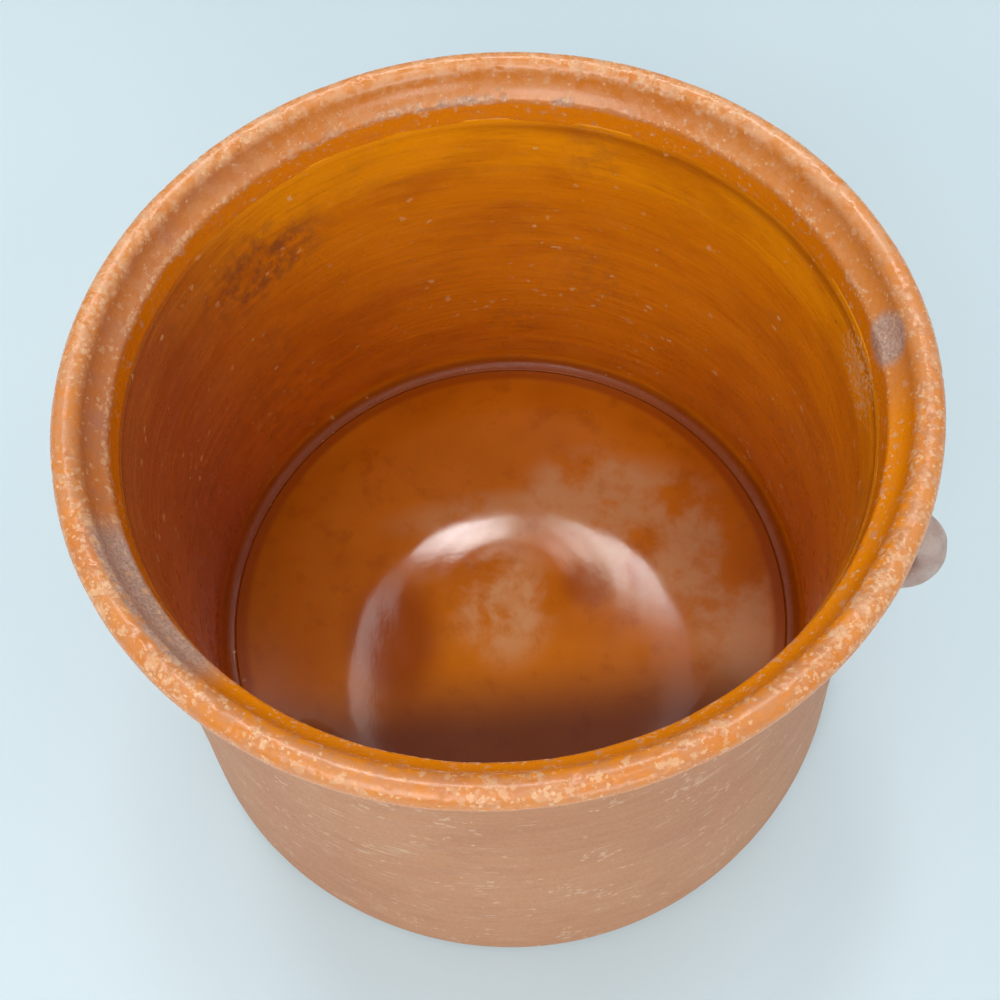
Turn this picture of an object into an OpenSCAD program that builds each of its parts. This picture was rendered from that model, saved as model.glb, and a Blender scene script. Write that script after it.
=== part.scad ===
// Wide-mouthed terracotta oil jar: a thrown wall luted to a floor slab, a rolled
// rim collar, two ear handles and a coat of amber glaze inside and over the rim.
// Origin at the middle of the foot, +Z up, handles on the +X and -X sides.

/* [Jar] */
// Overall height, foot to glazed lip
jar_h = 246; // [230:1:270]
// Outer radius of the wall where it meets the rim collar
neck_r = 143.5; // [138:0.5:150]
// Outer radius of the foot
foot_r = 175; // [168:0.5:182]
// Wall thickness at the rim collar
neck_wall = 8.5; // [8:0.1:11]
// Wall thickness at the ground, before the foot is cut back for the floor
foot_wall = 15; // [13:0.5:17]
// How late the wall spreads on its way down, 1 is a straight cone
taper_power = 1.15; // [1:0.05:1.3]
// Rounding of the foot's outer edge
foot_round = 5; // [2:0.5:8]

/* [Floor] */
// Thickness of the floor slab at its edge
floor_t = 15; // [12:0.5:20]
// Height of the floor's crown over its edge
floor_crown = 2; // [0.5:0.5:4]
// Thickness of the slab's ledge, which the wall laps
ledge_t = 9; // [6:0.5:11]
// Width of the slab's ledge
ledge_w = 7; // [4:0.5:9]
// How far the wall reaches outside the slab
heel_w = 12; // [10:0.5:14]
// Radius of the fold between the wall and the floor
fold_r = 8; // [5:0.5:10]

/* [Rim collar] */
// Height of the collar, from the lap joint to the clay lip
collar_h = 26.4; // [24:0.2:32]
// How far the lip stands out past the neck
lip_out = 6.5; // [3:0.5:9]
// Radius of the rolled lip
lip_round = 5; // [4:0.25:6]
// Drop from the clay lip to the inner edge of the lid seat
seat_drop = 14.4; // [12:0.2:17]
// Hollow radius of the lid seat
seat_r = 16; // [12:1:30]
// Rounding of the inner edge under the lid seat
edge_round = 1.6; // [0.8:0.2:2.4]
// Thickness of the tongue on top of the wall
tongue_t = 3.2; // [2:0.2:4.4]
// Height of that tongue
tongue_h = 6; // [4:0.5:7]

/* [Handles] */
// Drop from the collar joint to the middle of a handle
handle_drop = 34; // [31:1:48]
// Radius of the handle's arch, at the middle of the clay
handle_arch = 20; // [18:0.5:24]
// Width of the handle, around the jar
handle_w = 15; // [13:0.5:20]
// Thickness of the handle
handle_t = 12; // [10:0.5:13]
// Radius of the clay pressed round each handle root
root_r = 8.5; // [7.5:0.25:10]
// Diameter of the peg that keys each root into the wall
peg_d = 8; // [5:0.5:10]
// Depth of that peg in the wall
peg_in = 4; // [2:0.5:5]

/* [Joints and glaze] */
// Film of slip left beside a tongue, ledge or peg
slip = 0.1; // [0.05:0.05:0.3]
// Thickness of the glaze
glaze_t = 0.6; // [0.4:0.1:1]

/* [Hidden] */
$fn = 96;
arc_steps = 8;
wall_steps = 14;
// How far a cut or a fused piece runs past its face
over = 1;
clay_h = jar_h - glaze_t;
joint_z = clay_h - collar_h;
handle_z = joint_z - handle_drop;
mouth_r = neck_r - neck_wall;
slab_r = foot_r - heel_w;
ledge_r = slab_r - ledge_w;
fold_z = floor_t + fold_r;
lip_c = [neck_r + lip_out - lip_round, clay_h - lip_round];
lip_under = -60;
lip_in = 165;
edge_turn = 130;
edge_c = [mouth_r + edge_round, clay_h - seat_drop];
clay = [0.74, 0.52, 0.38];
worn_clay = [0.82, 0.55, 0.38];
grey_clay = [0.62, 0.53, 0.49];
amber = [0.72, 0.36, 0.06];
honey = [0.78, 0.44, 0.1];

// Share of the way down from the collar joint to the ground
function down(z) = (joint_z - z) / joint_z;
function outer_r(z) = neck_r + (foot_r - neck_r) * pow(down(z), taper_power);
function inner_r(z) = outer_r(z) - neck_wall - (foot_wall - neck_wall) * down(z);
function arc(c, r, a, b) =
    [for (i = [0 : arc_steps]) c + r * [cos(a + (b - a) * i / arc_steps), sin(a + (b - a) * i / arc_steps)]];
function reversed(list) = [for (i = [len(list) - 1 : -1 : 0]) list[i]];
function steps(a, b) = [for (i = [0 : wall_steps]) a + (b - a) * i / wall_steps];

// Centre of a circle of radius r through points p and q, on the right of p to q
function circle_mid(p, q, r) =
    let (d = q - p, n = [d[1], -d[0]] / norm(d)) (p + q) / 2 + n * sqrt(r * r - d * d / 4);
function angle_of(v) = atan2(v[1], v[0]);

// Face of the floor, raised by g: a low crown that ends flat under the wall's toe
fold_toe = inner_r(fold_z) - fold_r;
function floor_face(g, r_end) = concat([[r_end, floor_t + g]],
    [for (i = [0 : arc_steps]) let (u = 1 - i / arc_steps)
        [fold_toe * u, floor_t + g + floor_crown * (1 - u * u)]]);

// Inner face of the wall and its fold, from the floor up to the collar, drawn in by g
function wall_face(g) = concat(
    arc([fold_toe, fold_z], fold_r - g, -90, 0),
    [for (z = steps(fold_z, joint_z)) if (z > fold_z) [inner_r(z) - g, z]]);

// Face of the collar from under the lip, over it and down the lid seat, raised by g
lip_end = lip_c + lip_round * [cos(lip_in), sin(lip_in)];
seat_end = edge_c + edge_round * [cos(edge_turn), sin(edge_turn)];
seat_c = circle_mid(lip_end, seat_end, seat_r);
function collar_face(g) = concat(
    arc(lip_c, lip_round + g, lip_under, lip_in),
    arc(seat_c, seat_r - g, angle_of(lip_end - seat_c), angle_of(seat_end - seat_c)),
    arc(edge_c, edge_round + g, edge_turn, 180),
    [[mouth_r - g, joint_z]]);

// Tongue on top of the wall, grown by g on every free side
module tongue(g) {
    mid = (mouth_r + neck_r) / 2;
    translate([mid - tongue_t / 2 - g, joint_z - over]) square([tongue_t + 2 * g, tongue_h + over + g]);
}

// Solid outline of the jar outside, without its cavity
module wall_outline() {
    polygon(concat([[0, 0]],
        arc([outer_r(foot_round) - foot_round, foot_round], foot_round, -90, 0),
        [for (z = steps(foot_round, joint_z)) if (z > foot_round) [outer_r(z), z]],
        [[0, joint_z]]));
}

module body_wall() {
    color(clay) difference() {
        rotate_extrude() {
            difference() {
                wall_outline();
                polygon(concat([[0, -over], [slab_r + slip, -over], [slab_r + slip, ledge_t],
                                [ledge_r + slip, ledge_t], [ledge_r + slip, floor_t]],
                               wall_face(0), [[mouth_r, joint_z + over], [0, joint_z + over]]));
            }
            tongue(0);
        }
        for (side = [0, 180]) rotate([0, 0, side]) pegs(slip);
    }
}

module floor_slab() {
    color(clay) rotate_extrude()
        polygon(concat([[0, 0], [slab_r, 0], [slab_r, ledge_t], [ledge_r, ledge_t]], floor_face(0, ledge_r)));
}

module rim_collar() {
    color(worn_clay) rotate_extrude() difference() {
        polygon(concat([[neck_r, joint_z], [neck_r, lip_c[1] - 2 * lip_round]], collar_face(0)));
        tongue(slip);
    }
}

// Pegs of one handle, sunk into the wall and grown by g
module pegs(g) {
    for (end = [-1, 1]) {
        root_z = handle_z + end * handle_arch;
        translate([outer_r(root_z) - peg_in - g, 0, root_z]) rotate([0, 90, 0])
            cylinder(d = peg_d + 2 * g, h = peg_in + g + handle_t / 4);
    }
}

// Section of the handle's clay, a flattened round
module strap() {
    bulge = handle_w - handle_t;
    square([handle_t, bulge], center = true);
    for (end = [-1, 1]) translate([0, end * bulge / 2]) circle(d = handle_t);
}

// Arch of clay with a short leg and a pressed ball of clay at each root
module ear() {
    translate([outer_r(handle_z), 0, handle_z]) {
        rotate([90, 0, 0]) rotate([0, 0, -90])
            rotate_extrude(angle = 180) translate([handle_arch, 0]) strap();
        for (end = [-1, 1]) translate([0, 0, end * handle_arch]) {
            rotate([0, -90, 0]) linear_extrude(handle_arch / 2) strap();
            sphere(r = root_r);
        }
    }
}

module handle() {
    difference() {
        ear();
        rotate_extrude() wall_outline();
    }
    pegs(0);
}

module handle_right() {
    color(grey_clay) handle();
}

module handle_left() {
    color(grey_clay) rotate([0, 0, 180]) handle();
}

module floor_glaze() {
    color(honey) rotate_extrude()
        polygon(concat(floor_face(glaze_t, fold_toe), reversed(floor_face(0, fold_toe))));
}

module wall_glaze() {
    color(amber) rotate_extrude() polygon(concat(wall_face(glaze_t), reversed(wall_face(0))));
}

module rim_glaze() {
    color(amber) rotate_extrude() polygon(concat(collar_face(glaze_t), reversed(collar_face(0))));
}

floor_slab();
body_wall();
rim_collar();
handle_right();
handle_left();
floor_glaze();
wall_glaze();
rim_glaze();
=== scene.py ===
"""Looks for a wide-mouthed terracotta oil jar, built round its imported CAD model.

Lengths are metres. The jar's own frame has its foot on z = 0 and its ears on +X and -X.
A turn is an angle about the jar's axis as the camera sees it, in degrees: 0 is to the right of the
picture and 90 is the far side.
"""
import math
import bpy
import numpy as np
from mathutils import Matrix, Vector


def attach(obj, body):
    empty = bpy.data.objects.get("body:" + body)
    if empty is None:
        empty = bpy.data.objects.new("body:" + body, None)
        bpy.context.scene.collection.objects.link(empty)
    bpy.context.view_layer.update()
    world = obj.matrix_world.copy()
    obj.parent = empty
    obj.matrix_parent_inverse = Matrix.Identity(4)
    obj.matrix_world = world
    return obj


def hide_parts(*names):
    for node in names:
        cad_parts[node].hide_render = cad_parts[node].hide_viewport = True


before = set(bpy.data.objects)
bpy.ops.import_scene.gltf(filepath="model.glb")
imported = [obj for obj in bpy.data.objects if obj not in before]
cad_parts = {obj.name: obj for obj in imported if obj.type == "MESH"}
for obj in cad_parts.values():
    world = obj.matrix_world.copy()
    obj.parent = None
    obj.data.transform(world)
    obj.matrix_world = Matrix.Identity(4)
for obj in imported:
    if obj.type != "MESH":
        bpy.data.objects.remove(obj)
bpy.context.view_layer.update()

MM = 0.001

# The jar's sizes, as in its CAD model
JAR_H = 246 * MM
NECK_R = 143.5 * MM
FOOT_R = 175 * MM
NECK_WALL = 8.5 * MM
FOOT_WALL = 15 * MM
TAPER_POWER = 1.15
FOOT_ROUND = 5 * MM
FLOOR_T = 15 * MM
FLOOR_CROWN = 2 * MM
FOLD_R = 8 * MM
GLAZE_T = 0.6 * MM
LIP_OUT = 6.5 * MM
LIP_ROUND = 5 * MM
SEAT_DROP = 14.4 * MM
SEAT_R = 16 * MM
EDGE_ROUND = 1.6 * MM
COLLAR_H = 26.4 * MM
HANDLE_DROP = 34 * MM
HANDLE_ARCH = 20 * MM
HANDLE_W = 15 * MM
HANDLE_T = 12 * MM
CLAY_H = JAR_H - GLAZE_T
JOINT_Z = CLAY_H - COLLAR_H
HANDLE_Z = JOINT_Z - HANDLE_DROP
MOUTH_R = NECK_R - NECK_WALL
FOLD_Z = FLOOR_T + FOLD_R
LIP_C = np.array([NECK_R + LIP_OUT - LIP_ROUND, CLAY_H - LIP_ROUND])
EDGE_C = np.array([MOUTH_R + EDGE_ROUND, CLAY_H - SEAT_DROP])

# The camera, fitted to the photograph. Its unit is the rim's radius, from the rim's centre
UNIT = 150 * MM
RIM_Z = 243 * MM
VIEW_TURN = math.radians(23.5)
EYE = (0, -1.3086, 1.8272)
EYE_RIGHT = (0.99582, -0.07946, -0.04495)
EYE_UP = (0.09121, 0.88681, 0.45304)
EYE_BACK = (0.00386, -0.45525, 0.89036)
FOCAL_PX = 980
SENSOR_MM = 36
PHOTO_PX = 1000

# The rim's centre stands this far to the right of the foot's, as a thrown jar leans a little
LEAN = 3.0 * MM

# The ear's arch stands out less than its solid, so that the leaning jar stays inside the CAD box
EAR_REACH = HANDLE_ARCH - 2.4 * MM

# The thrown floor rises a little to the far side, and is uneven
FLOOR_TILT = 0.045
FLOOR_SWELL = 0.15 * MM


def to_jar(x, y, z=0.0):
    """A direction as the camera sees it, turned into the jar's frame."""
    c, s = math.cos(VIEW_TURN), math.sin(VIEW_TURN)
    return Vector((c * x - s * y, s * x + c * y, z))


def paint(red, green, blue):
    """A colour written as 0 to 255, as a linear one."""
    def linear(v):
        v = v / 255
        return v / 12.92 if v <= 0.04045 else ((v + 0.055) / 1.055) ** 2.4
    return (linear(red), linear(green), linear(blue), 1.0)


# Profiles of the jar

def down(z):
    return np.clip((JOINT_Z - z) / JOINT_Z, 0, 1)


def outer_r(z):
    return NECK_R + (FOOT_R - NECK_R) * down(z) ** TAPER_POWER


def inner_r(z):
    return outer_r(z) - NECK_WALL - (FOOT_WALL - NECK_WALL) * down(z)


FOLD_TOE = float(inner_r(FOLD_Z)) - FOLD_R


def arc(centre, radius, start, end, count=24):
    """Points on a circle from one angle to another, in degrees."""
    turn = np.radians(np.linspace(start, end, count))
    return np.asarray(centre) + radius * np.stack([np.cos(turn), np.sin(turn)], 1)


def angle_of(v):
    return math.degrees(math.atan2(v[1], v[0]))


def collar_face(g):
    """The rim from under the lip, over it and down the lid seat, raised by g."""
    lip_in, edge_turn = 165, 130
    lip_end = LIP_C + LIP_ROUND * np.array([math.cos(math.radians(lip_in)), math.sin(math.radians(lip_in))])
    seat_end = EDGE_C + EDGE_ROUND * np.array([math.cos(math.radians(edge_turn)),
                                               math.sin(math.radians(edge_turn))])
    d = seat_end - lip_end
    side = np.array([d[1], -d[0]]) / np.linalg.norm(d)
    seat_c = (lip_end + seat_end) / 2 + side * math.sqrt(SEAT_R ** 2 - d @ d / 4)
    return np.concatenate([
        arc(LIP_C, LIP_ROUND + g, -60, lip_in, 60),
        arc(seat_c, SEAT_R - g, angle_of(lip_end - seat_c), angle_of(seat_end - seat_c), 24)[1:],
        arc(EDGE_C, EDGE_ROUND + g, edge_turn, 180, 12)[1:],
        [[MOUTH_R - g, JOINT_Z]]])


def spread(points, step):
    """The same path with points an even step apart, and how far along each one is."""
    points = np.asarray(points, float)
    length = np.concatenate([[0], np.cumsum(np.linalg.norm(np.diff(points, axis=0), axis=1))])
    count = max(2, int(round(length[-1] / step)) + 1)
    along = np.linspace(0, length[-1], count)
    return np.stack([np.interp(along, length, points[:, k]) for k in (0, 1)], 1), along


def softened(points, rounds):
    """The same path with its corners eased, its ends kept."""
    points = points.copy()
    for _ in range(rounds):
        points[1:-1] = 0.25 * points[:-2] + 0.5 * points[1:-1] + 0.25 * points[2:]
    return points


# Seeded noise on points in space

def lattice_noise(points, scale, seed):
    """Smooth noise from -1 to 1 with cells 1 / scale wide. scale may differ along X, Y and Z."""
    size = 32
    table = np.random.default_rng(seed).uniform(-1, 1, (size, size, size))
    place = points * np.asarray(scale, float) + 100.0
    cell = np.floor(place).astype(int)
    t = place - cell
    t = t * t * (3 - 2 * t)
    total = np.zeros(len(points))
    for corner in range(8):
        step = [(corner >> k) & 1 for k in range(3)]
        weight = np.ones(len(points))
        for k in range(3):
            weight *= t[:, k] if step[k] else 1 - t[:, k]
        at = [(cell[:, k] + step[k]) % size for k in range(3)]
        total += weight * table[at[0], at[1], at[2]]
    return total


def layered_noise(points, scale, seed, layers=3):
    """Several layers of noise, each twice as fine and half as strong."""
    scale = np.asarray(scale, float)
    total = sum(lattice_noise(points, scale * 2 ** k, seed + k) / 2 ** k for k in range(layers))
    return total / sum(1 / 2 ** k for k in range(layers))


def ease(value, low, high):
    """0 below low, 1 above high, smooth between. It falls where low is above high."""
    t = np.clip((value - low) / (high - low), 0, 1)
    return t * t * (3 - 2 * t)


def seen_angle(points):
    """Each point's turn about the axis as the camera sees it, in degrees from 0 to 360."""
    turn = np.degrees(np.arctan2(points[:, 1], points[:, 0])) - math.degrees(VIEW_TURN)
    return turn % 360


def turned_from(turn, middle):
    """How far each angle is from middle, in degrees from 0 to 180."""
    return np.abs((turn - middle + 180) % 360 - 180)


# Building pieces

def mesh_piece(name, verts, faces, material, nodes, marks=None):
    """A smooth mesh that rides on the jar and stands for these CAD nodes."""
    mesh = bpy.data.meshes.new(name)
    mesh.from_pydata([tuple(v) for v in verts], [], faces)
    mesh.validate()
    mesh.polygons.foreach_set("use_smooth", [True] * len(mesh.polygons))
    for mark, values in (marks or {}).items():
        layer = mesh.attributes.new(mark, "FLOAT", "POINT")
        layer.data.foreach_set("value", np.asarray(values, np.float32))
    mesh.materials.append(material)
    mesh.update()
    piece = bpy.data.objects.new(name, mesh)
    bpy.context.scene.collection.objects.link(piece)
    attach(piece, "root")
    if nodes:
        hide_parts(*nodes)
    return piece


def turned_grid(profile, segments, closed):
    """Points and faces of a profile turned about the axis. An end on the axis stays one point for each turn,
    for poled to join.
    """
    count = len(profile)
    turn = np.arange(segments) * 2 * math.pi / segments
    radius, height = profile[:, 0], profile[:, 1]
    verts = np.stack([np.outer(np.cos(turn), radius), np.outer(np.sin(turn), radius),
                      np.tile(height, (segments, 1))], 2).reshape(-1, 3)
    here = np.arange(segments) * count
    there = np.roll(here, -1)
    faces = []
    last = count if closed else count - 1
    for k in range(last):
        n = (k + 1) % count
        quad = np.stack([here + k, there + k, there + n, here + n], 1)
        faces.append(quad)
    return verts, np.concatenate(faces)


def poled(verts, faces, count, segments, poles):
    """Joins each row in poles into one point and drops flattened faces. Also which points are left."""
    keep = np.arange(len(verts))
    for row in poles:
        keep[np.arange(segments) * count + row] = row
    faces = keep[faces]
    used = np.unique(faces)
    renumber = np.full(len(verts), -1)
    renumber[used] = np.arange(len(used))
    clean = []
    for face in renumber[faces].tolist():
        corners = [v for i, v in enumerate(face) if v != face[i - 1]]
        if len(corners) > 2:
            clean.append(corners)
    return verts[used], clean, used


def path_normals(profile, closed):
    """Unit normals on the right of the path, which is outside for a loop that runs anticlockwise."""
    if closed:
        along = np.roll(profile, -1, 0) - np.roll(profile, 1, 0)
    else:
        along = np.gradient(profile, axis=0)
    across = np.stack([along[:, 1], -along[:, 0]], 1)
    return across / np.maximum(np.linalg.norm(across, axis=1, keepdims=True), 1e-12)


def leant(points):
    """Shifts points to the right by their height's share of the lean."""
    shift = to_jar(LEAN, 0)
    share = np.clip(points[:, 2] / JAR_H, 0, 1)
    return points + share[:, None] * np.array(shift)


def pushed(verts, profile, segments, offset, closed=True):
    """Moves points along their profile's normals by offset, one value a point."""
    normal = path_normals(profile, closed)
    turn = np.repeat(np.arange(segments) * 2 * math.pi / segments, len(profile))
    flat = np.tile(normal, (segments, 1))
    out = np.stack([np.cos(turn) * flat[:, 0], np.sin(turn) * flat[:, 0], flat[:, 1]], 1)
    return verts + out * offset[:, None]


# Shader helper

class Shader:
    """A material's nodes, made with short calls."""

    def __init__(self, name):
        self.material = bpy.data.materials.new(name)
        self.material.use_nodes = True
        self.tree = self.material.node_tree
        self.tree.nodes.clear()
        self.place = self.make("ShaderNodeTexCoord").outputs["Object"]

    def make(self, kind, inputs=None, **settings):
        made = self.tree.nodes.new(kind)
        for key, value in settings.items():
            setattr(made, key, value)
        for key, value in (inputs or {}).items():
            self.feed(made.inputs[key], value)
        return made

    def feed(self, socket, value):
        if isinstance(value, bpy.types.NodeSocket):
            self.tree.links.new(value, socket)
        else:
            socket.default_value = value

    def mark(self, name):
        return self.make("ShaderNodeAttribute", attribute_name=name).outputs["Fac"]

    def math(self, operation, a, b=0.5, c=0.5):
        made = self.make("ShaderNodeMath", {0: a, 1: b, 2: c}, operation=operation)
        return made.outputs[0]

    def scaled(self, x, y, z, vector=None, shift=(0, 0, 0)):
        made = self.make("ShaderNodeMapping", {"Vector": vector or self.place, "Scale": (x, y, z),
                                               "Location": shift})
        return made.outputs[0]

    def noise(self, scale, detail=4.0, rough=0.55, vector=None, warp=0.0):
        made = self.make("ShaderNodeTexNoise", {"Vector": vector or self.place, "Scale": scale,
                                                "Detail": detail, "Roughness": rough, "Distortion": warp})
        return made.outputs["Fac"]

    def cells(self, scale, vector=None, feature="F1"):
        made = self.make("ShaderNodeTexVoronoi", {"Vector": vector or self.place, "Scale": scale},
                         feature=feature)
        return made.outputs["Distance"], made.outputs["Color"]

    def chips(self, scale, density, shift=0.0):
        """Angular flakes about 1 / scale wide, more of them where density is higher. Also a tone for each."""
        wobble = self.make("ShaderNodeTexNoise", {"Vector": self.place, "Scale": scale * 2.2, "Detail": 3.0})
        push = self.make("ShaderNodeVectorMath", {0: wobble.outputs["Color"], 1: (0.5, 0.5, 0.5)},
                         operation="SUBTRACT")
        push = self.make("ShaderNodeVectorMath", {0: push.outputs[0], "Scale": 1.3 / scale},
                         operation="SCALE")
        moved = self.make("ShaderNodeVectorMath", {0: self.place, 1: push.outputs[0]}, operation="ADD")
        moved = self.make("ShaderNodeVectorMath", {0: moved.outputs[0], 1: (shift, shift, shift)},
                          operation="ADD")
        _, colour = self.cells(scale, moved.outputs[0])
        split = self.make("ShaderNodeSeparateColor", {0: colour})
        return self.math("LESS_THAN", split.outputs[0], density), split.outputs[1]

    def ramp(self, value, low, high, start=0.0, end=1.0):
        made = self.make("ShaderNodeMapRange", {"Value": value, "From Min": low, "From Max": high,
                                                "To Min": start, "To Max": end},
                         interpolation_type="SMOOTHSTEP")
        return made.outputs[0]

    def mix(self, share, a, b, blend="MIX"):
        made = self.make("ShaderNodeMix", data_type="RGBA", blend_type=blend)
        self.feed(made.inputs[0], share)
        self.feed(made.inputs[6], a)
        self.feed(made.inputs[7], b)
        return made.outputs[2]

    def bump(self, height, distance, strength=1.0, under=None):
        inputs = {"Height": height, "Distance": distance, "Strength": strength}
        if under:
            inputs["Normal"] = under
        return self.make("ShaderNodeBump", inputs).outputs[0]

    def finish(self, colour, rough, normal, **values):
        """Ends in one Principled shader. values are the sockets that are the same all over."""
        shader = self.make("ShaderNodeBsdfPrincipled", {"Base Color": colour, "Roughness": rough,
                                                        "Normal": normal})
        for key, value in values.items():
            self.feed(shader.inputs[key.replace("_", " ")], value)
        out = self.make("ShaderNodeOutputMaterial")
        self.tree.links.new(shader.outputs[0], out.inputs[0])
        return self.material


# Materials

def speck_mask(s, scale, size, share, vector=None):
    """Round-ish specks: one in share of the cells has one, size of a cell wide."""
    distance, colour = s.cells(scale, vector)
    split = s.make("ShaderNodeSeparateColor", {0: colour})
    chosen = s.math("LESS_THAN", split.outputs[0], share)
    ragged = s.math("ADD", distance, s.math("MULTIPLY", s.noise(scale * 3), 0.25))
    dot = s.ramp(ragged, size + 0.14, size + 0.04)
    return s.math("MULTIPLY", dot, chosen)


def outer_clay():
    """Unglazed pinkish-tan clay with faint turning streaks, pale scratches and rubbed spots."""
    s = Shader("outer_clay")
    streak = s.noise(1.0, 5, 0.6, s.scaled(26, 26, 420))
    broad = s.noise(9, 3, 0.5)
    blotch = s.noise(40, 4, 0.6, s.scaled(1, 1, 1.8))
    fine = s.noise(900, 3, 0.6)
    colour = s.mix(s.ramp(broad, 0.35, 0.65), paint(180, 122, 82), paint(188, 132, 92))
    colour = s.mix(s.ramp(streak, 0.4, 0.75, 0, 0.45), colour, paint(194, 142, 106))
    colour = s.mix(s.ramp(blotch, 0.5, 0.72, 0, 0.4), colour, paint(170, 112, 78))
    colour = s.mix(s.ramp(blotch, 0.46, 0.26, 0, 0.35), colour, paint(190, 142, 108))
    colour = s.mix(s.ramp(fine, 0.42, 0.8, 0, 0.3), colour, paint(152, 108, 80))
    scratch = s.math("MULTIPLY", s.ramp(s.noise(1.0, 2, 0.4, s.scaled(75, 75, 1300), 0.2), 0.63, 0.69),
                     s.ramp(s.noise(42, 2), 0.5, 0.62))
    colour = s.mix(s.math("MULTIPLY", scratch, 0.6), colour, paint(228, 204, 182))
    rub, _ = s.chips(520, s.math("MULTIPLY", s.ramp(s.noise(55, 3, 0.6), 0.52, 0.72), 0.2))
    colour = s.mix(s.math("MULTIPLY", rub, 0.45), colour, paint(222, 188, 158))
    specks = speck_mask(s, 190, 0.16, 0.05)
    colour = s.mix(s.math("MULTIPLY", specks, 0.5), colour, paint(232, 208, 184))
    dark = speck_mask(s, 130, 0.08, 0.04, s.scaled(1, 1, 1, shift=(3, 7, 1)))
    colour = s.mix(s.math("MULTIPLY", dark, 0.6), colour, paint(112, 70, 50))
    rough = s.ramp(fine, 0.3, 0.7, 0.44, 0.58)
    normal = s.bump(streak, 0.0006, 0.5)
    normal = s.bump(fine, 0.00012, 0.6, normal)
    normal = s.bump(dark, 0.0003, -0.5, normal)
    return s.finish(colour, rough, normal, Specular_IOR_Level=0.22)


def wall_amber():
    """Satin amber glaze: brighter above, browner below, with turning rings, pits and pale specks."""
    s = Shader("wall_amber")
    streak = s.noise(1.0, 5, 0.62, s.scaled(44, 44, 560))
    rings = s.noise(1.0, 3, 0.5, s.scaled(7, 7, 300))
    cloud = s.noise(18, 5, 0.62, s.scaled(1, 1, 2.4))
    grain = s.noise(520, 4, 0.7)
    colour = s.mix(s.mark("high"), paint(228, 138, 4), paint(242, 156, 6))
    colour = s.mix(s.math("MULTIPLY", s.mark("shade_side"), 0.85), colour, paint(176, 96, 62))
    colour = s.mix(s.ramp(cloud, 0.42, 0.7, 0, 0.5), colour, paint(188, 98, 10))
    colour = s.mix(s.ramp(cloud, 0.4, 0.25, 0, 0.35), colour, paint(232, 148, 20))
    colour = s.mix(s.ramp(streak, 0.5, 0.78, 0, 0.45), colour, paint(232, 156, 48))
    colour = s.mix(s.ramp(streak, 0.46, 0.22, 0, 0.5), colour, paint(170, 88, 8))
    brown = s.math("MULTIPLY", s.mark("brown"), s.ramp(s.noise(130, 5, 0.7), 0.4, 0.62))
    colour = s.mix(s.math("MULTIPLY", brown, 0.75), colour, paint(142, 84, 48))
    # Painted shade, partly dirt: darker in the crease under the collar and in the fold at the floor
    colour = s.mix(s.math("MULTIPLY", s.mark("crease_shade_and_dirt"), 0.85), colour, paint(146, 66, 10))
    fleck, fleck_tone = s.chips(430, s.math("MULTIPLY", s.ramp(s.noise(30, 3), 0.45, 0.7), 0.035))
    fleck = s.math("MULTIPLY", fleck, s.ramp(fleck_tone, 0, 1, 0.4, 0.9))
    colour = s.mix(fleck, colour, paint(234, 190, 130))
    pale = s.math("MAXIMUM", speck_mask(s, 120, 0.13, 0.1), speck_mask(s, 270, 0.16, 0.05))
    colour = s.mix(s.math("MULTIPLY", pale, 0.7), colour, paint(232, 184, 124))
    worn, worn_tone = s.chips(900, s.math("MULTIPLY", s.mark("worn"), 0.62), 0.3)
    colour = s.mix(s.math("MULTIPLY", worn, s.ramp(worn_tone, 0, 1, 0.3, 0.95)), colour, paint(222, 172, 118))
    dark = speck_mask(s, 105, 0.09, 0.06, s.scaled(1, 1, 1, shift=(5, 2, 9)))
    colour = s.mix(s.math("MULTIPLY", dark, 0.75), colour, paint(84, 40, 14))
    rough = s.ramp(s.noise(60, 4, 0.6), 0.3, 0.7, 0.24, 0.38)
    rough = s.math("ADD", rough, s.math("MULTIPLY", worn, 0.25))
    normal = s.bump(streak, 0.0006, 0.4)
    normal = s.bump(rings, 0.0008, 0.3, normal)
    normal = s.bump(grain, 0.00012, 0.5, normal)
    normal = s.bump(dark, 0.0004, -0.6, normal)
    return s.finish(colour, rough, normal, Specular_IOR_Level=0.35)


def floor_amber():
    """Glossy amber glaze with pale cloudy patches, faint rings and a few specks."""
    s = Shader("floor_amber")
    cloud = s.noise(24, 6, 0.6, warp=0.2)
    blot = s.noise(75, 4, 0.6)
    grain = s.noise(500, 3, 0.6)
    colour = s.mix(s.ramp(s.noise(11, 3, 0.5), 0.35, 0.65), paint(196, 110, 10), paint(214, 128, 22))
    colour = s.mix(s.ramp(blot, 0.5, 0.75, 0, 0.4), colour, paint(162, 82, 6))
    colour = s.mix(s.mark("deep"), colour, paint(160, 78, 2))
    milky = s.math("MULTIPLY", s.mark("milky"), s.ramp(cloud, 0.38, 0.56))
    milky = s.math("MULTIPLY", milky, s.ramp(blot, 0.7, 0.42, 0.55, 1))
    colour = s.mix(s.math("MULTIPLY", milky, 0.85), colour, paint(216, 172, 124))
    # Painted dark reflection on the near side of the floor
    colour = s.mix(s.math("MULTIPLY", s.mark("near_dark_reflection"), 0.85), colour, paint(92, 54, 48))
    # Painted shade, partly dirt: a dark band round the floor's edge by the fold
    colour = s.mix(s.math("MULTIPLY", s.mark("crease_shade_and_dirt"), 0.8), colour, paint(166, 80, 12))
    pale = speck_mask(s, 110, 0.13, 0.06)
    colour = s.mix(s.math("MULTIPLY", pale, 0.4), colour, paint(226, 184, 134))
    rough = s.ramp(cloud, 0.35, 0.65, 0.05, 0.1)
    normal = s.bump(s.noise(26, 2, 0.5), 0.0005, 0.3)
    normal = s.bump(grain, 0.00004, 0.4, normal)
    return s.finish(colour, rough, normal, Coat_Weight=0.25, Coat_Roughness=0.04)


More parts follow.
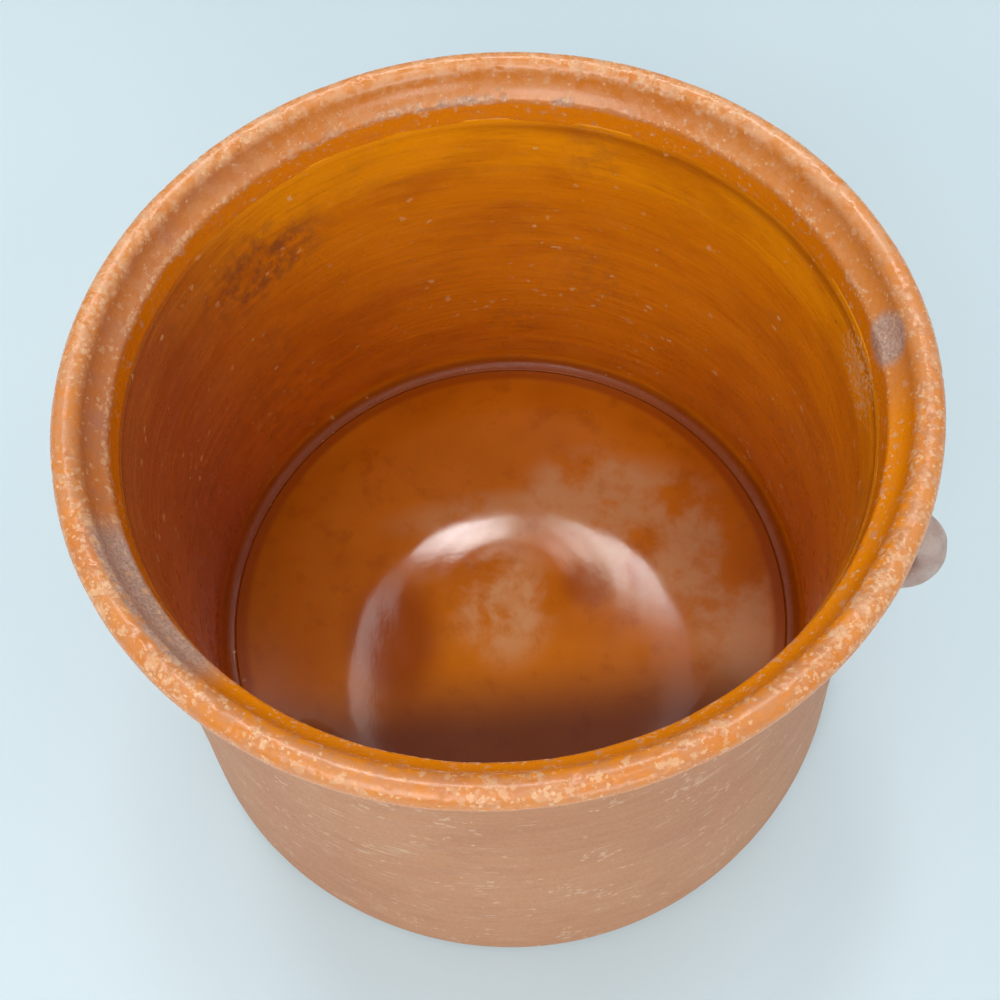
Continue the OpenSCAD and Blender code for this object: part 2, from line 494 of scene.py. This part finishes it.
def rim_amber():
    """Glaze over the rim: orange in the lid seat, rubbed to peach on the lip, flaked grey at the edge."""
    s = Shader("rim_amber")
    fine = s.noise(900, 4, 0.65)
    mid = s.noise(170, 5, 0.65)
    cloud = s.noise(36, 4, 0.6)
    streak = s.noise(1.0, 4, 0.6, s.scaled(36, 36, 520))
    colour = s.mix(s.ramp(cloud, 0.35, 0.65), paint(208, 124, 40), paint(212, 134, 60))
    colour = s.mix(s.math("MULTIPLY", s.mark("mauve"), s.ramp(cloud, 0.38, 0.6, 0.3, 0.85)), colour,
                   paint(178, 122, 100))
    colour = s.mix(s.math("MULTIPLY", s.mark("amber"), s.ramp(mid, 0.75, 0.4, 0.7, 1)), colour,
                   paint(232, 138, 6))
    rubbed = s.mix(s.mark("far"), paint(194, 128, 80), paint(220, 162, 114))
    colour = s.mix(s.math("MULTIPLY", s.mark("rubbed"), s.ramp(mid, 0.36, 0.62)), colour, rubbed)
    colour = s.mix(s.ramp(streak, 0.52, 0.8, 0, 0.4), colour, paint(192, 104, 52))
    colour = s.mix(s.ramp(fine, 0.5, 0.75, 0, 0.3), colour, paint(176, 100, 60))
    colour = s.mix(s.math("MULTIPLY", s.mark("under"), 0.85), colour, paint(184, 92, 50))
    grey = s.math("MULTIPLY", s.mark("grey"), s.ramp(mid, 0.2, 0.42))
    ashen = s.mix(s.ramp(fine, 0.35, 0.65), paint(156, 130, 118), paint(196, 170, 156))
    colour = s.mix(s.math("MULTIPLY", grey, 0.9), colour, ashen)
    density = s.math("MULTIPLY", s.mark("chip"), s.ramp(mid, 0.3, 0.65, 0.35, 1.4))
    large, tone = s.chips(480, density)
    small, small_tone = s.chips(1050, s.math("MULTIPLY", density, 0.8), 0.37)
    peach = s.mix(tone, paint(198, 138, 92), paint(222, 174, 130))
    colour = s.mix(s.math("MULTIPLY", large, 0.7), colour, peach)
    colour = s.mix(s.math("MULTIPLY", small, s.ramp(small_tone, 0, 1, 0.3, 0.85)), colour,
                   paint(224, 180, 136))
    dark = speck_mask(s, 150, 0.08, 0.04, s.scaled(1, 1, 1, shift=(1, 6, 2)))
    colour = s.mix(s.math("MULTIPLY", dark, 0.7), colour, paint(96, 58, 40))
    flaked = s.math("MAXIMUM", s.math("MAXIMUM", large, small), grey)
    rough = s.ramp(mid, 0.3, 0.7, 0.2, 0.34)
    rough = s.math("ADD", rough, s.math("MULTIPLY", flaked, 0.26))
    normal = s.bump(large, 0.00022, -0.6)
    normal = s.bump(fine, 0.00012, 0.6, normal)
    normal = s.bump(mid, 0.0005, 0.4, normal)
    return s.finish(colour, rough, normal, Coat_Weight=0.15, Coat_Roughness=0.15)


def ear_clay():
    """Smoke-greyed unglazed clay of the ears, paler where hands have rubbed it."""
    s = Shader("ear_clay")
    fine = s.noise(700, 4, 0.65)
    cloud = s.noise(60, 4, 0.6)
    colour = s.mix(s.ramp(cloud, 0.35, 0.65), paint(168, 142, 132), paint(184, 168, 158))
    colour = s.mix(s.mark("tan"), colour, paint(200, 150, 120))
    colour = s.mix(s.ramp(fine, 0.45, 0.8, 0, 0.4), colour, paint(140, 108, 98))
    pale = speck_mask(s, 300, 0.16, 0.08)
    colour = s.mix(s.math("MULTIPLY", pale, 0.6), colour, paint(226, 206, 190))
    orange = speck_mask(s, 140, 0.12, 0.05)
    colour = s.mix(s.math("MULTIPLY", orange, 0.8), colour, paint(196, 112, 66))
    rough = s.ramp(fine, 0.3, 0.7, 0.45, 0.6)
    normal = s.bump(cloud, 0.001, 0.4)
    normal = s.bump(fine, 0.00015, 0.6, normal)
    return s.finish(colour, rough, normal, Specular_IOR_Level=0.45)


# The clay body outside

def make_body():
    segments, step = 720, 1.9 * MM
    outside, _ = spread(np.concatenate([
        arc([float(outer_r(FOOT_ROUND)) - FOOT_ROUND, FOOT_ROUND], FOOT_ROUND, -90, 0, 12),
        [[float(outer_r(z)), z] for z in np.linspace(FOOT_ROUND, JOINT_Z, 80)[1:]],
        [[NECK_R, LIP_C[1] - 2 * LIP_ROUND], [NECK_R + 1.6 * MM, LIP_C[1] - 1.6 * LIP_ROUND]]]), step)
    outside = softened(outside, 2)
    base, _ = spread([[0.0, 0.9 * MM], [0.7 * FOOT_R, 0.6 * MM], [FOOT_R - 3.4 * FOOT_ROUND, 0.0],
                      [float(outer_r(FOOT_ROUND)) - FOOT_ROUND, 0.0]], 8 * MM)
    top = [[MOUTH_R + 3 * MM, LIP_C[1] - 1.6 * LIP_ROUND], [MOUTH_R + 3 * MM, JOINT_Z]]
    inside = [[float(inner_r(z)) + 1.5 * MM, z] for z in np.linspace(JOINT_Z, FOLD_Z, 24)[1:]]
    floor = [[FOLD_TOE, FLOOR_T - 6 * MM], [0.0, FLOOR_T - 6 * MM]]
    profile = np.concatenate([base[:-1], outside, top, inside, floor])
    count = len(profile)
    verts, faces = turned_grid(profile, segments, False)
    first, last = len(base) - 1, len(base) - 1 + len(outside)
    row = np.tile(np.arange(count), segments)
    seen = ((row >= first) & (row < last)).astype(float)
    z = verts[:, 2]
    free = seen * ease(z, 0.0, 12 * MM) * ease(z, JOINT_Z + 11 * MM, JOINT_Z)
    rings = layered_noise(verts, (7, 7, 160), 11)
    swell = lattice_noise(verts, (9, 9, 14), 21)
    dents = np.maximum(layered_noise(verts, (60, 60, 90), 31) - 0.35, 0)
    offset = free * (rings * 0.22 * MM + swell * 0.5 * MM - dents * 1.0 * MM)
    offset -= seen * 0.35 * MM * (1 + lattice_noise(verts, (12, 12, 12), 41))
    verts = leant(pushed(verts, profile, segments, offset, closed=False))
    verts, faces, _ = poled(verts, faces, count, segments, (0, count - 1))
    return mesh_piece("clay_body", verts, faces, outer_clay(), ["body_wall", "floor_slab"])


# The rim: glaze over the collar, worn and chipped

def make_rim():
    segments, step = 1300, 0.62 * MM
    face = np.concatenate([[[NECK_R, LIP_C[1] - 2.0 * LIP_ROUND]], collar_face(GLAZE_T)])
    shown, along = spread(face, step)
    shown = softened(shown, 3)
    hidden = np.array([[MOUTH_R + 2.5 * MM, JOINT_Z + 0.2 * MM], [MOUTH_R + 4 * MM, JOINT_Z + 8 * MM],
                       [NECK_R - 2.5 * MM, LIP_C[1] - 2.0 * LIP_ROUND]])
    profile = np.concatenate([shown, hidden])
    count = len(profile)
    verts, faces = turned_grid(profile, segments, True)
    row = np.tile(np.arange(count), segments)
    seen = row < len(shown)
    way = np.concatenate([along, [along[-1]] * 3])[row]
    z = verts[:, 2]
    turn = seen_angle(verts)
    lip_top = along[int(np.argmax(shown[:, 1]))]
    edge_at = along[int(np.argmin(np.linalg.norm(shown - (EDGE_C - [EDGE_ROUND, -0.3 * MM]), axis=1)))]
    # How near each point is to the crest of the lip and to the edge under the lid seat
    on_lip = ease(np.abs(way - lip_top - 0.2 * MM), 9.5 * MM, 5 * MM)
    on_edge = ease(np.abs(way - edge_at + 0.8 * MM), 3.0 * MM, 0.6 * MM)
    on_under = ease(way, lip_top - 8.5 * MM, lip_top - 11 * MM)
    on_slope = ease(way, edge_at + 0.2 * MM, edge_at + 2.2 * MM)
    in_seat = ease(way, lip_top + 4 * MM, lip_top + 8 * MM) * (1 - on_slope)
    chips = layered_noise(verts, (330, 330, 330), 51, 2)
    clumps = layered_noise(verts, (60, 60, 60), 61, 3)
    patchy = layered_noise(verts, (18, 18, 18), 65, 2)
    far_edge = ease(turned_from(turn, 92), 36, 14)
    left_edge = ease(turned_from(turn, 165), 42, 25)
    edge_wear = on_edge * (0.22 + 0.55 * far_edge + 0.25 * left_edge) * ease(clumps, -0.5, 0.35)
    chip = np.clip(on_lip * (0.15 + 0.42 * clumps + 0.15 * patchy) + 0.8 * edge_wear + 0.04 * in_seat
                   + 0.03 * on_slope + 0.12 * on_under * ease(clumps, 0.1, 0.5), 0, 1)
    dent = np.clip(on_lip * ease(chips + 0.5 * clumps, 0.2, 0.5)
                   + (0.4 + 0.6 * far_edge) * on_edge * ease(chips + 0.7 * clumps, -0.1, 0.3), 0, 1)
    grey_left = ease(turned_from(turn, 214), 17, 10) * ease(way, lip_top + 2.5 * MM, lip_top + 5 * MM)
    grey_left *= ease(way, edge_at + 2 * MM, edge_at - 1 * MM)
    oval = np.hypot(turned_from(turn, 358.6) / 4.6, (way - edge_at + 4 * MM) / (9.5 * MM))
    grey_right = ease(oval, 1.15, 0.7)
    grey_far = far_edge * on_edge * ease(clumps + 0.4 * chips, -0.35, 0.15)
    grey = np.clip(grey_left + grey_right + grey_far, 0, 1)
    near_seat = ease(turned_from(turn, 287), 66, 56) * ease(way, lip_top + 2 * MM, lip_top + 4.5 * MM)
    amber = np.clip(on_slope + near_seat * (1 - grey_right), 0, 1)
    far = ease(turned_from(turn, 90), 105, 60)
    rubbed = np.clip(0.8 * on_lip + 0.3 * in_seat * far, 0, 1)
    mauve = in_seat * (ease(turned_from(turn, 175), 32, 18) + 0.6 * ease(patchy, 0.0, 0.4)) * (1 - near_seat)
    mauve = np.clip(mauve, 0, 1)
    wave = lattice_noise(verts, (11, 11, 2), 71)
    knead = layered_noise(verts, (45, 45, 60), 81, 2)
    offset = seen * (knead * 0.22 * MM - dent * 0.3 * MM - 0.4 * MM - grey * 0.12 * MM)
    offset += seen * ease(way, 0, 3 * MM) * wave * 0.3 * MM
    # The lower end sinks behind the wall's glaze, which carries on up behind the collar's
    offset -= seen * on_slope * ease(z, JOINT_Z + 3 * MM, JOINT_Z) * 0.8 * MM
    verts = leant(pushed(verts, profile, segments, offset))
    verts[:, 2] -= seen * ease(z, JOINT_Z + 3 * MM, JAR_H) * 0.5 * MM * (1 + wave) * 0.5
    marks = {"chip": chip, "grey": grey, "amber": amber, "rubbed": rubbed, "under": on_under, "mauve": mauve,
             "far": far}
    nodes = ["rim_collar", "rim_glaze"]
    return mesh_piece("rim", verts, faces.tolist(), rim_amber(), nodes, marks)


# The glaze inside

def make_wall():
    segments, step = 720, 1.6 * MM
    g = GLAZE_T
    face = np.concatenate([
        arc([FOLD_TOE, FOLD_Z], FOLD_R - g, -90, 0, 14),
        [[float(inner_r(z)) - g, z] for z in np.linspace(FOLD_Z, JOINT_Z + 4 * MM, 80)[1:]]])
    shown, along = spread(face, step)
    shown = softened(shown, 2)
    back = shown[::-6] + [2.2 * MM, 0]
    profile = np.concatenate([shown, back])[::-1]
    count = len(profile)
    verts, faces = turned_grid(profile, segments, True)
    row = np.tile(np.arange(count), segments)
    seen = row >= len(back)
    z = verts[:, 2]
    turn = seen_angle(verts)
    rings = layered_noise(verts, (6, 6, 210), 91, 3)
    swell = lattice_noise(verts, (10, 10, 16), 101)
    ledge_z = 193 * MM + 2.5 * MM * layered_noise(verts, (9, 9, 0), 111)
    ledge = ease(z, ledge_z - 4 * MM, ledge_z + 2 * MM) * ease(z, ledge_z + 18 * MM, ledge_z + 4 * MM)
    ends = ease(z, FLOOR_T + 1 * MM, FLOOR_T + 14 * MM) * ease(z, JOINT_Z + 1 * MM, JOINT_Z - 5 * MM)
    offset = seen * ends * (rings * 0.2 * MM + swell * 0.6 * MM + ledge * 0.25 * MM)
    crease = np.exp(-((z - JOINT_Z + 1 * MM) / (2.6 * MM)) ** 2)
    offset -= seen * (crease * 0.3 * MM + ease(z, JOINT_Z + 0.5 * MM, JOINT_Z + 4 * MM) * 0.7 * MM)
    verts = leant(pushed(verts, profile, segments, offset))
    high = ease(z, ledge_z - 9 * MM, ledge_z + 4 * MM)
    shade = ease(turned_from(turn, 190), 62, 22)
    soft_line = np.exp(-((z - JOINT_Z + 1 * MM) / (2.6 * MM)) ** 2) * ease(swell, -0.8, 0.6)
    # Painted shade, partly dirt: a soft dark line in the crease under the collar and a dark band down in the
    # fold
    crease_shade_and_dirt = np.clip(0.8 * soft_line + ease(z, FLOOR_T + 8 * MM, FLOOR_T + 4 * MM), 0, 1)
    patch = np.hypot(turned_from(turn, 135) / 17, (z - 186 * MM) / (26 * MM))
    brown = ease(patch, 1.2, 0.3) + 0.35 * ease(lattice_noise(verts, (22, 22, 30), 141), 0.25, 0.7)
    spot = np.hypot(turned_from(turn, 359) / 9, (z - 212 * MM) / (13 * MM))
    worn = ease(spot, 1.2, 0.4)
    brown = np.clip(brown, 0, 1)
    marks = {"high": high, "shade_side": shade, "crease_shade_and_dirt": crease_shade_and_dirt, "worn": worn, "brown": brown}
    faces = faces.tolist()
    return mesh_piece("wall_glaze_coat", verts, faces, wall_amber(), ["wall_glaze"], marks)


def make_floor():
    segments = 540
    radius = np.concatenate([np.linspace(0, 0.03, 16)[:-1], np.linspace(0.03, FOLD_TOE + 1.5 * MM, 84)])
    top = np.stack([radius, FLOOR_T + GLAZE_T + FLOOR_CROWN * (1 - np.minimum(radius / FOLD_TOE, 1) ** 2)], 1)
    under = np.array([[FOLD_TOE + 1.5 * MM, FLOOR_T - 3 * MM], [0.0, FLOOR_T - 3 * MM]])
    profile = np.concatenate([under[::-1], top[::-1]])
    count = len(profile)
    verts, faces = turned_grid(profile, segments, False)
    row = np.tile(np.arange(count), segments)
    seen = row >= 2
    far = np.array(to_jar(0, 1))
    right = np.array(to_jar(1, 0))
    across, ahead = verts @ right, verts @ far
    r = np.hypot(across, ahead)
    inward = ease(r, FOLD_TOE, 0.75 * FOLD_TOE)
    tilt = FLOOR_TILT * ahead
    rings = layered_noise(np.stack([r, 0 * r, 0 * r], 1), (120, 1, 1), 121, 2)
    swell = lattice_noise(verts, (14, 14, 0), 131)
    lift = inward * (tilt + rings * 0.02 * MM + swell * FLOOR_SWELL)
    verts[:, 2] += np.where(seen, lift, 0)
    turn = seen_angle(verts)
    verts = leant(verts)
    px, py = across / UNIT, ahead / UNIT

    def blob(x, y, width, depth):
        return ease(np.hypot((px - x) / width, (py - y) / depth), 1.15, 0.45)

    milky = np.clip(blob(0.55, 0.2, 0.34, 0.32) + blob(0.33, 0.42, 0.24, 0.18) + blob(0.8, -0.1, 0.2, 0.4)
                    + 0.9 * blob(-0.02, -0.02, 0.2, 0.26) + 0.7 * blob(0.05, 0.32, 0.5, 0.12), 0, 1)
    deep = np.clip(blob(-0.42, -0.12, 0.2, 0.26) + 0.7 * blob(0.3, 0.02, 0.12, 0.1), 0, 1)
    # Painted dark reflection, growing towards the near edge of the floor
    near_dark_reflection = ease(py, -0.2, -0.5)
    # Painted shade, partly dirt, round the floor's edge by the fold
    crease_shade_and_dirt = ease(r, FOLD_TOE - 8 * MM, FOLD_TOE - 4 * MM)
    marks = {"milky": milky, "deep": deep, "near_dark_reflection": near_dark_reflection, "crease_shade_and_dirt": crease_shade_and_dirt}
    verts, faces, used = poled(verts, faces, count, segments, (0, count - 1))
    marks = {key: value[used] for key, value in marks.items()}
    return mesh_piece("floor_glaze_coat", verts, faces, floor_amber(), ["floor_glaze"], marks)


# The ears

def make_ear(name, node, side, seed):
    """A pulled arch of clay whose roots spread on the wall. side is 1 for +X and -1 for -X."""
    around, step, sunk = 56, 0.8 * MM, 5 * MM
    wall = float(outer_r(HANDLE_Z))
    turns = np.radians(np.linspace(-90, 90, 61))
    bend = np.stack([wall + EAR_REACH * np.cos(turns), HANDLE_Z + HANDLE_ARCH * np.sin(turns)], 1)
    roots = [[[wall - sunk, HANDLE_Z + end * HANDLE_ARCH]] for end in (-1, 1)]
    path = np.concatenate([roots[0], bend, roots[1]])
    path, along = spread(path, step)
    tangent = np.gradient(path, axis=0)
    tangent /= np.linalg.norm(tangent, axis=1, keepdims=True)
    outward = np.stack([tangent[:, 1], -tangent[:, 0]], 1)
    steps = len(path)
    from_root = np.minimum(along, along[-1] - along) - sunk
    flare = 1 + 0.42 * ease(from_root, 9 * MM, -1 * MM)
    phi = np.arange(around) * 2 * math.pi / around
    power = 2 / 2.6
    cos_side = np.sign(np.cos(phi)) * np.abs(np.cos(phi)) ** power
    sin_side = np.sign(np.sin(phi)) * np.abs(np.sin(phi)) ** power
    a = HANDLE_T / 2 * flare
    b = HANDLE_W / 2 * flare
    x = path[:, 0, None] + outward[:, 0, None] * a[:, None] * cos_side
    z = path[:, 1, None] + outward[:, 1, None] * a[:, None] * cos_side
    y = b[:, None] * sin_side * np.ones_like(x)
    middle = np.repeat(np.stack([path[:, 0], np.zeros(steps), path[:, 1]], 1), around, 0)
    verts = np.stack([x.ravel(), y.ravel(), z.ravel()], 1)
    out = verts - middle
    out /= np.linalg.norm(out, axis=1, keepdims=True)
    knead = layered_noise(verts, (70, 70, 70), seed, 3)
    verts += out * (knead * 0.9 * MM - 0.5 * MM)[:, None]
    faces = []
    for k in range(steps - 1):
        for j in range(around):
            n = (j + 1) % around
            faces.append((k * around + j, k * around + n, (k + 1) * around + n, (k + 1) * around + j))
    ends = np.array([[path[0, 0], 0, path[0, 1]], [path[-1, 0], 0, path[-1, 1]]])
    first, last = len(verts), len(verts) + 1
    verts = np.concatenate([verts, ends])
    for j in range(around):
        n = (j + 1) % around
        faces.append((first, n, j))
        faces.append((last, (steps - 1) * around + j, (steps - 1) * around + n))
    tan = np.concatenate([np.repeat(ease(from_root, 6 * MM, 0), around), [1, 1]])
    verts[:, :2] *= side
    verts = leant(verts)
    return mesh_piece(name, verts, faces, ear_clay(), [node], {"tan": tan})


# Floor, light and camera

def make_ground():
    ground = Shader("ground_paper")
    cloud = ground.ramp(ground.noise(1.5, 2, 0.5), 0.3, 0.7)
    tint = ground.mix(cloud, paint(194, 212, 220), paint(201, 218, 225))
    normal = ground.bump(ground.noise(40, 2, 0.5), 0.0002, 0.2)
    material = ground.finish(tint, 0.9, normal, Specular_IOR_Level=0.1)
    rings, around = [0.0, 0.3, 0.8, 2.0, 5.0, 12.0], 96
    verts = [(0.0, 0.0, 0.0)]
    for radius in rings[1:]:
        for k in range(around):
            turn = 2 * math.pi * k / around
            verts.append((radius * math.cos(turn), radius * math.sin(turn), 0.0))
    faces = [(0, 1 + k, 1 + (k + 1) % around) for k in range(around)]
    for ring in range(len(rings) - 2):
        base = 1 + ring * around
        for k in range(around):
            n = (k + 1) % around
            faces.append((base + k, base + around + k, base + around + n, base + n))
    mesh = bpy.data.meshes.new("ground")
    mesh.from_pydata(verts, [], faces)
    mesh.materials.append(material)
    ground_piece = bpy.data.objects.new("ground", mesh)
    bpy.context.scene.collection.objects.link(ground_piece)
    ground_piece.location.z = -0.0002


def direction(turn, height):
    """A unit direction from the jar: turn as the camera sees it, height over the horizon, in degrees."""
    t, h = math.radians(turn), math.radians(height)
    return to_jar(math.cos(t) * math.cos(h), math.sin(t) * math.cos(h), math.sin(h))


# The world's light at the horizon and overhead
WORLD_LOW = 0.10
WORLD_HIGH = 0.80
# Windows of the world: turn, height, full within, gone past (degrees), strength
WINDOWS = [
    (100, 64, 3, 7, 18.0),
    (62, 66, 4, 9, 8.0),
    (135, 70, 4, 8, 2.0),
    (288, 67.3, 2.5, 5.5, 8.0),
    (250, 67.5, 2.0, 4.5, 6.0),
    (284, 8, 5, 14, 5.0),
]
# Dark patches of the world: turn, height, full within, gone past, share taken away
DARKS = [
    (92, 79.6, 9.2, 10.4, 0.93),
]


def make_world():
    """A soft pale studio, with brighter windows and a dark patch where the photographer leans over."""
    world = bpy.data.worlds.new("studio")
    world.use_nodes = True
    bpy.context.scene.world = world
    s = Shader.__new__(Shader)
    s.tree = world.node_tree
    s.tree.nodes.clear()
    way = s.make("ShaderNodeTexCoord").outputs["Generated"]
    out = s.make("ShaderNodeOutputWorld")

    def patch(turn, height, inner, outer):
        """1 within inner degrees of a direction, 0 past outer."""
        dot = s.make("ShaderNodeVectorMath", {0: way, 1: direction(turn, height)}, operation="DOT_PRODUCT")
        return s.ramp(dot.outputs["Value"], math.cos(math.radians(outer)), math.cos(math.radians(inner)))

    height = s.make("ShaderNodeSeparateXYZ", {0: way}).outputs["Z"]
    value = s.ramp(height, -0.05, 0.7, WORLD_LOW, WORLD_HIGH)
    for turn, height, inner, outer, strength in WINDOWS:
        value = s.math("ADD", value, s.math("MULTIPLY", patch(turn, height, inner, outer), strength))
    for turn, height, inner, outer, share in DARKS:
        left = s.math("SUBTRACT", 1.0, s.math("MULTIPLY", patch(turn, height, inner, outer), share))
        value = s.math("MULTIPLY", value, left)
    lit = s.make("ShaderNodeBackground", {"Color": (1.0, 1.0, 1.0, 1), "Strength": value})
    pale = s.make("ShaderNodeBackground", {"Color": paint(220, 232, 239), "Strength": 1.0})
    seen = s.make("ShaderNodeLightPath").outputs["Is Camera Ray"]
    both = s.make("ShaderNodeMixShader", {0: seen, 1: lit.outputs[0], 2: pale.outputs[0]})
    s.tree.links.new(both.outputs[0], out.inputs[0])


def make_lamp(name, turn, height, distance, size, power, colour=(1, 1, 1)):
    """A soft lamp that looks at the middle of the jar."""
    data = bpy.data.lights.new(name, "AREA")
    data.shape = "DISK"
    data.size = size
    data.energy = power
    data.color = colour
    lamp = bpy.data.objects.new(name, data)
    aim = Vector((0, 0, JAR_H * 0.6))
    back = direction(turn, height)
    lamp.location = aim + back * distance
    lamp.rotation_mode = "QUATERNION"
    lamp.rotation_quaternion = (-back).to_track_quat("-Z", "Y")
    bpy.context.scene.collection.objects.link(lamp)


def make_camera():
    data = bpy.data.cameras.new("camera")
    data.sensor_fit = "HORIZONTAL"
    data.sensor_width = SENSOR_MM
    data.lens = FOCAL_PX / PHOTO_PX * SENSOR_MM
    camera = bpy.data.objects.new("camera", data)
    axes = Matrix([to_jar(*EYE_RIGHT), to_jar(*EYE_UP), to_jar(*EYE_BACK)]).transposed()
    camera.rotation_mode = "QUATERNION"
    camera.rotation_quaternion = axes.to_quaternion()
    rim_centre = to_jar(LEAN * RIM_Z / JAR_H, 0, RIM_Z)
    camera.location = rim_centre + to_jar(*EYE) * UNIT
    bpy.context.scene.collection.objects.link(camera)
    bpy.context.scene.camera = camera


make_camera()
make_body()
make_rim()
make_wall()
make_floor()
make_ear("ear_right", "handle_right", 1, 201)
make_ear("ear_left", "handle_left", -1, 301)
make_ground()
make_world()
make_lamp("key", 245, 38, 1.6, 0.9, 8.5)
bpy.context.scene.view_settings.view_transform = "Standard"
